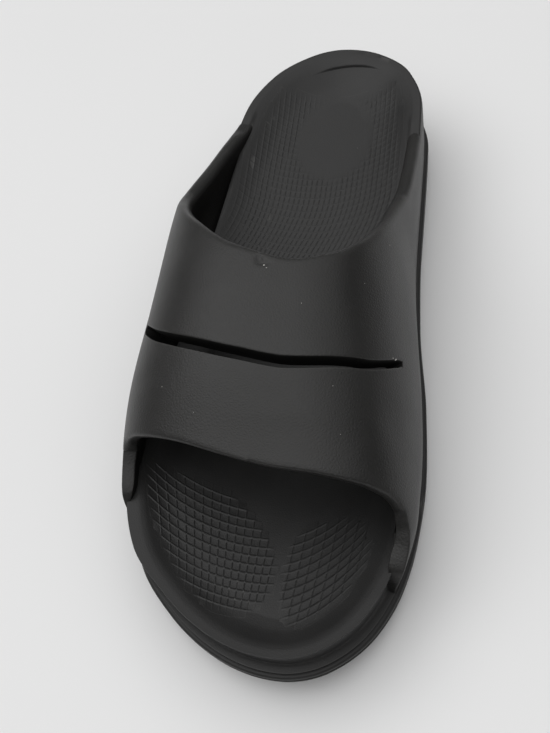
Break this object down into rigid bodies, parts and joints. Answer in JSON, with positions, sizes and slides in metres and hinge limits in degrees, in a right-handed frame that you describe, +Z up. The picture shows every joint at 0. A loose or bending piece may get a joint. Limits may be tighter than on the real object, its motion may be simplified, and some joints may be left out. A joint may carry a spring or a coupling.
{
  "type": "slide sandal",
  "caption": "Right-foot slide sandal: a contoured foam footbed with a raised rim on a grooved outsole, under a wide arched strap with a slot across it.",
  "frame": {"origin": "on the floor under the middle of the widest outline, which is the centre of the bounding box's base", "axes": "+Z up; the toe points to -Y and the heel to +Y; the big-toe (medial) side is +X"},
  "size_m": [0.1108, 0.286, 0.0818],
  "materials": {
    "outsole": "satin moulded foam rubber, charcoal black",
    "midsole": "satin moulded foam, charcoal black, raised grid on the footbed",
    "upper": "satin moulded foam with a fine leather grain, charcoal black"
  },
  "bodies": {
    "root": {"outsole": "outsole", "midsole": "midsole", "upper": "upper"}
  },
  "joints": []
}
